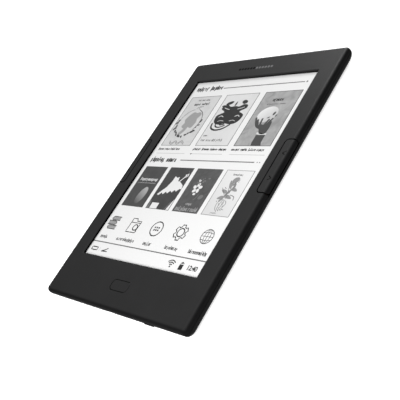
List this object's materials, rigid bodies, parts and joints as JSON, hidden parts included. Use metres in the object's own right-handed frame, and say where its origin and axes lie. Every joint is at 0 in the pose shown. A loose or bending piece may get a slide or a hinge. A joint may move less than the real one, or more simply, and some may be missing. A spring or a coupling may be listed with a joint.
{
  "type": "e-reader",
  "caption": "Slim black e-reader with a recessed paper-like screen, a flush home key, page-turn rockers on both long sides and a power key in the bottom edge.",
  "frame": {"origin": "middle of the flat back face, which it rests on", "axes": "+X to the reader's right, +Y to its top edge, +Z out of the screen"},
  "size_m": [0.1146, 0.1641, 0.008],
  "materials": {
    "bezel_plastic": "fine matt, soft to the touch",
    "cover_plastic": "fine matt",
    "key_plastic": "fine matt",
    "cast_frame": "as cast",
    "screw_steel": "plain",
    "screen_film": "anti-glare",
    "clear_guide": "clear",
    "panel_face": "paper-like",
    "black_foam": "closed-cell foam",
    "amber_flex": "polyimide film",
    "lamp_body": "lens",
    "board_laminate": "solder mask",
    "connector_plastic": "moulded",
    "tinned_steel": "tinned",
    "chip_resin": "moulded resin",
    "antenna_ceramic": "fired",
    "pouch_foil": "laminated foil",
    "white_plastic": "moulded",
    "red_sleeve": "wire sleeve",
    "black_sleeve": "wire sleeve",
    "dome_steel": "pressed"
  },
  "bodies": {
    "reader": {"front_bezel": "bezel_plastic", "rear_cover": "cover_plastic", "mid_frame": "cast_frame", "frame_screws": "screw_steel", "board_screws": "screw_steel", "touch_panel": "screen_film", "light_guide": "clear_guide", "eink_panel": "panel_face", "panel_tape": "black_foam", "screen_gasket": "black_foam", "light_strip": "amber_flex", "light_leds": "lamp_body", "display_flex": "amber_flex", "touch_flex": "amber_flex", "main_board": "board_laminate", "flex_connectors": "connector_plastic", "shield_can": "tinned_steel", "processor_chip": "chip_resin", "memory_chip": "chip_resin", "power_chip": "chip_resin", "radio_module": "tinned_steel", "radio_antenna": "antenna_ceramic", "board_capacitors": "antenna_ceramic", "usb_shell": "tinned_steel", "usb_tongue": "connector_plastic", "card_shell": "tinned_steel", "card_base": "connector_plastic", "battery_pack": "pouch_foil", "battery_tape": "black_foam", "battery_board": "board_laminate", "battery_plug": "white_plastic", "battery_lead_red": "red_sleeve", "battery_lead_black": "black_sleeve", "right_key_flex": "amber_flex", "left_key_flex": "amber_flex", "right_key_domes": "dome_steel", "left_key_domes": "dome_steel", "home_key_board": "board_laminate", "home_dome": "dome_steel", "power_switch": "tinned_steel"},
    "right_page_key": {"right_page_button": "key_plastic"},
    "left_page_key": {"left_page_button": "key_plastic"},
    "home_key": {"home_button": "key_plastic"},
    "power_key": {"power_button": "key_plastic"},
    "switch_plunger": {"power_plunger": "white_plastic"}
  },
  "joints": [
    {"name": "right_page_rock", "type": "hinge", "parent": "reader", "child": "right_page_key", "pos_m": [0.0525, 0.006, 0.0057], "axis": [1, 0, 0], "range_deg": [-1, 1], "stiffness_Nm_per_rad": 0.5},
    {"name": "left_page_rock", "type": "hinge", "parent": "reader", "child": "left_page_key", "pos_m": [-0.0525, 0.006, 0.0057], "axis": [1, 0, 0], "range_deg": [-1, 1], "stiffness_Nm_per_rad": 0.5},
    {"name": "home_press", "type": "slide", "parent": "reader", "child": "home_key", "axis": [0, 0, -1], "range_m": [0, 0.0003], "stiffness_N_per_m": 4000, "deforming": ["home_dome"]},
    {"name": "power_press", "type": "slide", "parent": "reader", "child": "power_key", "axis": [0, 1, 0], "range_m": [0, 0.00035], "stiffness_N_per_m": 4000},
    {"name": "plunger_press", "type": "slide", "parent": "reader", "child": "switch_plunger", "axis": [0, 1, 0], "range_m": [0, 0.00035]}
  ],
  "couplings": [
    {"joint": "plunger_press", "follows": "power_press", "ratio": 1}
  ]
}
